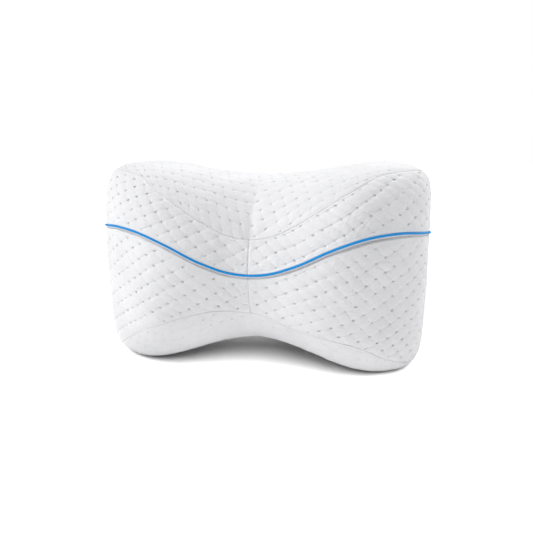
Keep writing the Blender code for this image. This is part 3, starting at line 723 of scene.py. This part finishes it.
def quilted_knit():
    """White polyester circular knit, quilted: matt, with a soft bloom at grazing angles from its fine hairs.
    Each tack is a short crisp pit, an ellipse with a smooth wall, and thin uneven creases join the pits. Both
    are read from the lattice steps in the UV map, and the share of quilting fades them."""
    material = bpy.data.materials.new("white quilted polyester knit")
    material.use_nodes = True
    tree = material.node_tree
    shader = tree.nodes["Principled BSDF"]
    shader.inputs["Roughness"].default_value = 0.88
    shader.inputs["Specular IOR Level"].default_value = 0.25
    shader.inputs["Sheen Weight"].default_value = 0.25
    shader.inputs["Sheen Roughness"].default_value = 0.6
    place = add_node(tree, "ShaderNodeTexCoord").outputs["Object"]
    settings = {("Scale",): 1 / (BLOTCH_SIZE * MM), ("Detail",): 3.0}
    blotch = add_node(tree, "ShaderNodeTexNoise", settings, {"Vector": place})
    tint = add_node(tree, "ShaderNodeValToRGB", {}, {"Fac": blotch.outputs["Fac"]})
    tint.color_ramp.elements[0].position, tint.color_ramp.elements[1].position = 0.35, 0.7
    tint.color_ramp.elements[0].color = hex_to_linear("#EDEDEF")
    tint.color_ramp.elements[1].color = hex_to_linear("#F4F4F6")
    tree.links.new(tint.outputs["Color"], shader.inputs["Base Color"])

    steps = add_node(tree, "ShaderNodeUVMap", {"uv_map": "cloth"}).outputs["UV"]
    settings = {"operation": "ADD", (1,): (0.5, 0.5, 0.0)}
    half_on = add_node(tree, "ShaderNodeVectorMath", settings, {0: steps}).outputs[0]
    knot = add_node(tree, "ShaderNodeVectorMath", {"operation": "FLOOR"}, {0: half_on}).outputs[0]
    off = add_node(tree, "ShaderNodeVectorMath", {"operation": "SUBTRACT"}, {0: steps, 1: knot}).outputs[0]
    in_pit = add_node(tree, "ShaderNodeCombineXYZ")
    for number, way in enumerate((TACK_STEPS / PIT_HALF_SIZES).T):
        settings = {"operation": "DOT_PRODUCT", (1,): (*way, 0.0)}
        share = add_node(tree, "ShaderNodeVectorMath", settings, {0: off}).outputs["Value"]
        tree.links.new(share, in_pit.inputs[number])
    links = {0: in_pit.outputs[0]}
    gap = add_node(tree, "ShaderNodeVectorMath", {"operation": "LENGTH"}, links).outputs["Value"]
    settings = {
        "interpolation_type": "SMOOTHSTEP",
        ("From Max",): PIT_END,
        ("To Min",): -PIT_DEPTH,
        ("To Max",): 0.0,
    }
    pit = add_node(tree, "ShaderNodeMapRange", settings, {"Value": gap}).outputs[0]
    luck = add_node(tree, "ShaderNodeTexWhiteNoise", {"noise_dimensions": "2D"}, {"Vector": knot})
    settings, links = {"operation": "ADD", (1,): PIT_LEAST}, {0: luck.outputs["Value"]}
    uneven = add_node(tree, "ShaderNodeMath", settings, links).outputs[0]
    tacking = add_node(tree, "ShaderNodeAttribute", {"attribute_name": "tacking"}).outputs["Fac"]
    links = {0: uneven, 1: tacking}
    strength = add_node(tree, "ShaderNodeMath", {"operation": "MULTIPLY"}, links).outputs[0]
    height = add_node(tree, "ShaderNodeMath", {"operation": "MULTIPLY"}, {0: pit, 1: strength}).outputs[0]
    for axis, other, depth in PIT_CREASES:
        settings = {"operation": "DOT_PRODUCT", (1,): axis}
        aside = add_node(tree, "ShaderNodeVectorMath", settings, {0: off}).outputs["Value"]
        gap = add_node(tree, "ShaderNodeMath", {"operation": "ABSOLUTE"}, {0: aside}).outputs[0]
        reach = PIT_CREASE_WIDTH * float(np.linalg.norm(other)) / CELL_AREA
        settings = {
            "interpolation_type": "SMOOTHSTEP",
            ("From Max",): reach,
            ("To Min",): -depth,
            ("To Max",): 0.0,
        }
        crease = add_node(tree, "ShaderNodeMapRange", settings, {"Value": gap}).outputs[0]
        settings = {"operation": "ADD", (1,): axis}
        beside = add_node(tree, "ShaderNodeVectorMath", settings, {0: steps}).outputs[0]
        settings = {("Scale",): PATCH_SCALE, ("Detail",): 1.0}
        patch = add_node(tree, "ShaderNodeTexNoise", settings, {"Vector": beside}).outputs["Fac"]
        settings = {"interpolation_type": "SMOOTHSTEP", ("From Min",): PATCH_FROM, ("From Max",): PATCH_FULL}
        where = add_node(tree, "ShaderNodeMapRange", settings, {"Value": patch}).outputs[0]
        links = {0: where, 1: tacking}
        strength = add_node(tree, "ShaderNodeMath", {"operation": "MULTIPLY"}, links).outputs[0]
        links = {0: crease, 1: strength, 2: height}
        height = add_node(tree, "ShaderNodeMath", {"operation": "MULTIPLY_ADD"}, links).outputs[0]
    for turn, scale in WRINKLE_WAYS:
        settings = {("Rotation",): (0.0, 0.0, math.radians(turn)), ("Scale",): scale}
        turned = add_node(tree, "ShaderNodeMapping", settings, {"Vector": steps}).outputs["Vector"]
        settings = {("Scale",): 1.0, ("Detail",): 2.0}
        ripple = add_node(tree, "ShaderNodeTexNoise", settings, {"Vector": turned}).outputs["Fac"]
        settings = {"operation": "MULTIPLY_ADD", (1,): WRINKLE_DEPTH}
        height = add_node(tree, "ShaderNodeMath", settings, {0: ripple, 2: height}).outputs[0]
    quilt = add_node(tree, "ShaderNodeBump", {("Strength",): 1.0, ("Distance",): MM}, {"Height": height})
    settings = {("Scale",): 1 / (LOOP_SIZE * MM), ("Randomness",): 0.6}
    loops = add_node(tree, "ShaderNodeTexVoronoi", settings, {"Vector": place}).outputs["Distance"]
    settings = {("Scale",): 1 / (FUZZ_SIZE * MM), ("Detail",): 4.0}
    fuzz = add_node(tree, "ShaderNodeTexNoise", settings, {"Vector": place}).outputs["Fac"]
    grain = add_node(tree, "ShaderNodeMath", {"operation": "ADD"}, {0: loops, 1: fuzz}).outputs[0]
    settings = {("Strength",): 0.35, ("Distance",): KNIT_RELIEF * MM}
    links = {"Height": grain, "Normal": quilt.outputs["Normal"]}
    bump = add_node(tree, "ShaderNodeBump", settings, links)
    tree.links.new(bump.outputs["Normal"], shader.inputs["Normal"])
    return material


cover_cloth = quilted_knit()
for is_upper, names in (
    (True, ("upper_band_left", "upper_band_right", "top_panel")),
    (False, ("lower_band_left", "lower_band_right", "bottom_panel")),
):
    cover_points, cover_parts, cover_steps = half_of_cover(is_upper)
    for panel_name, panel_quads in zip(names, cover_parts):
        panel_piece = sewn_panel(panel_name, cover_points, panel_quads, cover_steps, cover_cloth)
        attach(panel_piece, "root")
        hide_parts("pillow")

# Piping
# A thin cord wrapped in bright blue bias cloth, sewn into the seam above the zip all the way round. It
# stands about three quarters of its thickness out of the groove between the halves of the cover.

PIPING_SIDES = 14
PIPING_RADIUS = 0.00074
PIPING_PROUD = 0.0004

# Small gathers of the bias cloth: their share of the radius, and how they turn and vary along the cord. Its
# slanting threads are 0.785 mm apart along the cord, and its UV map runs 1.5 round it for each radian.
SWELL_SHARE, SWELL_TURN = 0.03, 2.1
SWELL_EVEN, SWELL_STEP, SWELL_SEED = 0.6, 11.0, 61
CLOTH_ROUND = 1.5
BIAS_THREAD = 0.785
THREAD_RELIEF = 0.2


def side_frame(angle, elevation):
    """Points of the bare block, the way out of it, and the way up it, along a line round the side."""
    along = on_block(angle + PROBE_ANGLE, elevation) - on_block(angle - PROBE_ANGLE, elevation)
    upward = on_block(angle, elevation + PROBE_ANGLE) - on_block(angle, elevation - PROBE_ANGLE)
    out = np.cross(along, upward)
    out /= np.linalg.norm(out, axis=-1, keepdims=True)
    line = on_block(angle, elevation) + (0.0, 0.0, CENTRE_HEIGHT)
    return line, out, upward / np.linalg.norm(upward, axis=-1, keepdims=True)


def sewn_piping(material):
    """A tube round the piping line: circles of points, each square to the line, joined into a closed ring.
    Small gathers of the bias cloth swell it a little, as a wave along it."""
    line, out, _ = side_frame(ANGLES, LINES["piping"])
    centre = line + out * PIPING_PROUD
    forward = np.roll(centre, -1, axis=0) - np.roll(centre, 1, axis=0)
    forward /= np.linalg.norm(forward, axis=1, keepdims=True)
    aside = np.cross(forward, out)
    out = np.cross(aside, forward)
    run = np.concatenate([[0.0], np.cumsum(np.linalg.norm(np.diff(centre, axis=0), axis=1))]) / MM
    phase = np.linspace(0.0, 2 * math.pi, PIPING_SIDES, endpoint=False)
    uneven = SWELL_EVEN + (1 - SWELL_EVEN) * smooth_noise(run / SWELL_STEP, 0.0, SWELL_SEED)
    swell = 1 + SWELL_SHARE * np.sin(run[:, None] * SWELL_TURN + phase) * uneven[:, None]
    circle = np.cos(phase)[:, None] * out[:, None] + np.sin(phase)[:, None] * aside[:, None]
    points = centre[:, None] + PIPING_RADIUS * swell[..., None] * circle
    index = np.arange(len(ANGLES) * PIPING_SIDES).reshape(-1, PIPING_SIDES)
    on = np.roll(index, -1, axis=0)
    faces = np.stack([index, on, np.roll(on, -1, axis=1), np.roll(index, -1, axis=1)], -1).reshape(-1, 4)
    along, around = np.broadcast_arrays(run[:, None], phase * CLOTH_ROUND)
    cloth = np.stack([along, around], -1).reshape(-1, 2)
    return closed_mesh("piping_cord", points.reshape(-1, 3), faces.tolist(), cloth, material)


def blue_bias_cloth():
    """Sky blue polyester satin bias cloth: a soft gloss along the cord, with its fine slanting threads. The
    Wave texture's diagonal bands at scale 1 are 2 pi / 10 units apart along an axis."""
    material = bpy.data.materials.new("blue polyester bias cloth")
    material.use_nodes = True
    tree = material.node_tree
    shader = tree.nodes["Principled BSDF"]
    shader.inputs["Roughness"].default_value = 0.55
    shader.inputs["Base Color"].default_value = hex_to_linear("#129DEC")
    shader.inputs["Specular IOR Level"].default_value = 0.3
    cloth = add_node(tree, "ShaderNodeUVMap", {"uv_map": "cloth"}).outputs["UV"]
    scale = 2 * math.pi / 10 / BIAS_THREAD
    settings = {"bands_direction": "DIAGONAL", ("Scale",): scale, ("Distortion",): 0.6}
    threads = add_node(tree, "ShaderNodeTexWave", settings, {"Vector": cloth}).outputs["Fac"]
    settings = {("Strength",): 0.5, ("Distance",): THREAD_RELIEF * MM}
    bump = add_node(tree, "ShaderNodeBump", settings, {"Height": threads})
    tree.links.new(bump.outputs["Normal"], shader.inputs["Normal"])
    return material


piping = sewn_piping(blue_bias_cloth())
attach(piping, "root")
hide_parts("piping")

# Zip
# A closed coil zip in the ledge under the piping: grey-lilac woven tape with the slanting ridges of its
# coil. It shows along the front only, widest to the right of the middle.

ZIP_THICKNESS = 0.0006
ZIP_LIFT = 0.00005
ZIP_TUCK = 0.15
ZIP_LEAST = 0.0005
ZIP_FINE, ZIP_ROWS = 4, 9
RIB_PITCH, RIB_SLANT = 1.5, 0.35
RIB_HEIGHT = 0.00022
TAPE_THREAD = 1.11


def zip_strip(material):
    """A closed strip: a front face whose slanting ribs are a wave of run and width, and a flat back behind
    it, on columns four times as fine as the cover's."""
    shown = np.flatnonzero(LINES["zip"] > ZIP_LEAST)
    column = np.arange(len(shown))
    fine = np.linspace(0, len(shown) - 1, ZIP_FINE * (len(shown) - 1) + 1)
    angle = np.interp(fine, column, ANGLES[shown])
    width = np.interp(fine, column, LINES["zip"][shown])
    piping_line = np.interp(fine, column, LINES["piping"][shown])
    piping_reach = np.linalg.norm(on_block(ANGLES, LINES["piping"])[:, :2], axis=1)
    reach = np.interp(fine, column, piping_reach[shown])
    depth = np.interp(fine, column, ledge_depth()[shown])[:, None, None] * MM
    share = np.linspace(1.0, 0.0, ZIP_ROWS)
    below = (WELT_EDGE + ZIP_TUCK) * MM + width[:, None] * share
    elevation = piping_line[:, None] - below * (np.cos(piping_line) ** 2 / reach)[:, None]
    line, out, _ = side_frame(np.broadcast_to(angle[:, None], elevation.shape), elevation)
    middle = line[:, ZIP_ROWS // 2]
    run = np.concatenate([[0.0], np.cumsum(np.linalg.norm(np.diff(middle, axis=0), axis=1))]) / MM
    wave = np.sin(2 * math.pi * (run[:, None] / RIB_PITCH - below / MM * RIB_SLANT))
    back = line - out * (depth - ZIP_LIFT)
    face = line - out * (depth - ZIP_LIFT - ZIP_THICKNESS + RIB_HEIGHT - RIB_HEIGHT * wave[..., None])
    points = np.concatenate([face, back[:, ::-1]], axis=1)
    rows = points.shape[1]
    index = np.arange(len(fine) * rows).reshape(-1, rows)
    turned = np.roll(index, -1, axis=1)
    faces = np.stack([index[:-1], index[1:], turned[1:], turned[:-1]], -1).reshape(-1, 4).tolist()
    faces += [index[0, ::-1].tolist(), index[-1].tolist()]
    along, around = np.broadcast_arrays(run[:, None], np.arange(rows))
    cloth = np.stack([along, around], -1).reshape(-1, 2)
    return closed_mesh("zip_tape_ribbed", points.reshape(-1, 3), faces, cloth, material)


def zip_cloth():
    """Grey-lilac nylon zip tape and coil: slightly glossy ridges, with paler and darker threads."""
    material = bpy.data.materials.new("grey nylon zip tape")
    material.use_nodes = True
    tree = material.node_tree
    shader = tree.nodes["Principled BSDF"]
    shader.inputs["Roughness"].default_value = 0.6
    place = add_node(tree, "ShaderNodeTexCoord").outputs["Object"]
    settings = {("Scale",): 1 / (TAPE_THREAD * MM), ("Detail",): 2.0}
    thread = add_node(tree, "ShaderNodeTexNoise", settings, {"Vector": place})
    tint = add_node(tree, "ShaderNodeValToRGB", {}, {"Fac": thread.outputs["Fac"]})
    tint.color_ramp.elements[0].color = hex_to_linear("#D3D1D5")
    tint.color_ramp.elements[1].color = hex_to_linear("#E6E4E8")
    tree.links.new(tint.outputs["Color"], shader.inputs["Base Color"])
    return material


zip_piece = zip_strip(zip_cloth())
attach(zip_piece, "root")
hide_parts("zip_tape")

# Studio
# A plain pale floor, soft white light from all round, and the camera low in front, a little to the right.
# The floor shows brighter than it lights the pillow, as a paper sweep far below a set does.

CAMERA_DISTANCE = 0.40698
CAMERA_RISE = math.radians(11.708)
CAMERA_TURN = math.radians(9.856)
CLIP_START = 0.01
FOCAL_PIXELS = 500.06
PHOTO_SIDE = 533.0
PHOTO_CENTRE = (265.54, 256.46)
SENSOR = 36.0
WHITE = (1.0, 1.0, 1.0, 1.0)
FILL_LIGHT, BACKDROP_LIGHT = 0.21, 1.0
FLOOR_SHOWN, FLOOR_BOUNCE = "#F8F8F8", "#A4A4A4"
FLOOR_HALF = 6.0

# Lamps: name, turn from the front and rise in degrees, strength, how wide it looks in degrees
LAMPS = (
    ("left softbox", -75.0, 37.0, 0.53, 35.0),
    ("front softbox", -20.0, 54.0, 0.21, 60.0),
    ("right softbox", 132.0, 32.0, 0.60, 40.0),
    ("top softbox", 180.0, 75.0, 0.13, 60.0),
)
FLOOR_LAMP = ("floor lamp", 6.0, 57.0, 2.1, 58.0)


def matt_floor_paint():
    """Matt white floor paint. The camera sees it white, and what it bounces onto the pillow is darker."""
    material = bpy.data.materials.new("matt white floor")
    material.use_nodes = True
    tree = material.node_tree
    shader = tree.nodes["Principled BSDF"]
    shader.inputs["Base Color"].default_value = hex_to_linear(FLOOR_SHOWN)
    shader.inputs["Roughness"].default_value = 0.9
    bounce = add_node(tree, "ShaderNodeBsdfDiffuse", {("Color",): hex_to_linear(FLOOR_BOUNCE)})
    seen = add_node(tree, "ShaderNodeLightPath").outputs["Is Camera Ray"]
    links = {0: seen, 1: bounce.outputs[0], 2: shader.outputs[0]}
    both = add_node(tree, "ShaderNodeMixShader", {}, links)
    tree.links.new(both.outputs[0], tree.nodes["Material Output"].inputs["Surface"])
    return material


floor_mesh = bpy.data.meshes.new("floor")
floor_corners = [(x * FLOOR_HALF, y * FLOOR_HALF, 0.0) for x, y in ((-1, -1), (1, -1), (1, 1), (-1, 1))]
floor_mesh.from_pydata(floor_corners, [], [(0, 1, 2, 3)])
floor_mesh.materials.append(matt_floor_paint())
floor = bpy.data.objects.new("floor", floor_mesh)
bpy.context.scene.collection.objects.link(floor)

camera_data = bpy.data.cameras.new("camera")
camera = bpy.data.objects.new("camera", camera_data)
bpy.context.scene.collection.objects.link(camera)
camera_data.sensor_width = SENSOR
camera_data.lens = SENSOR * FOCAL_PIXELS / PHOTO_SIDE
camera_data.clip_start = CLIP_START
camera_data.shift_x = (PHOTO_SIDE / 2 - PHOTO_CENTRE[0]) / PHOTO_SIDE
camera_data.shift_y = (PHOTO_CENTRE[1] - PHOTO_SIDE / 2) / PHOTO_SIDE
camera.location = (
    CAMERA_DISTANCE * math.cos(CAMERA_RISE) * math.sin(CAMERA_TURN),
    -CAMERA_DISTANCE * math.cos(CAMERA_RISE) * math.cos(CAMERA_TURN),
    CENTRE_HEIGHT + CAMERA_DISTANCE * math.sin(CAMERA_RISE),
)
camera.rotation_euler = (math.pi / 2 - CAMERA_RISE, 0.0, CAMERA_TURN)
bpy.context.scene.camera = camera

world = bpy.data.worlds.new("white studio")
bpy.context.scene.world = world
world.use_nodes = True
room = world.node_tree
fill = room.nodes["Background"]
fill.inputs["Color"].default_value = WHITE
fill.inputs["Strength"].default_value = FILL_LIGHT
backdrop = add_node(room, "ShaderNodeBackground", {("Color",): WHITE, ("Strength",): BACKDROP_LIGHT})
seen_by_camera = add_node(room, "ShaderNodeLightPath").outputs["Is Camera Ray"]
room_links = {0: seen_by_camera, 1: fill.outputs[0], 2: backdrop.outputs[0]}
room_light = add_node(room, "ShaderNodeMixShader", {}, room_links)
room.links.new(room_light.outputs[0], room.nodes["World Output"].inputs["Surface"])


def soft_sun(name, turn, rise, strength, width, only=None):
    """A soft lamp far away: its turn from the front and its rise in degrees, how wide it looks, and the one
    collection that it lights, if it isn't meant for all."""
    data = bpy.data.lights.new(name, "SUN")
    data.energy = strength * math.pi
    data.angle = math.radians(width)
    light = bpy.data.objects.new(name, data)
    light.rotation_euler = (math.radians(90.0 - rise), 0.0, math.radians(turn))
    bpy.context.scene.collection.objects.link(light)
    if only:
        light.light_linking.receiver_collection = only


floor_only = bpy.data.collections.new("lit by the floor lamp")
floor_only.objects.link(floor)
for lamp in LAMPS:
    soft_sun(*lamp)
soft_sun(*FLOOR_LAMP, floor_only)
bpy.context.scene.view_settings.view_transform = "Standard"
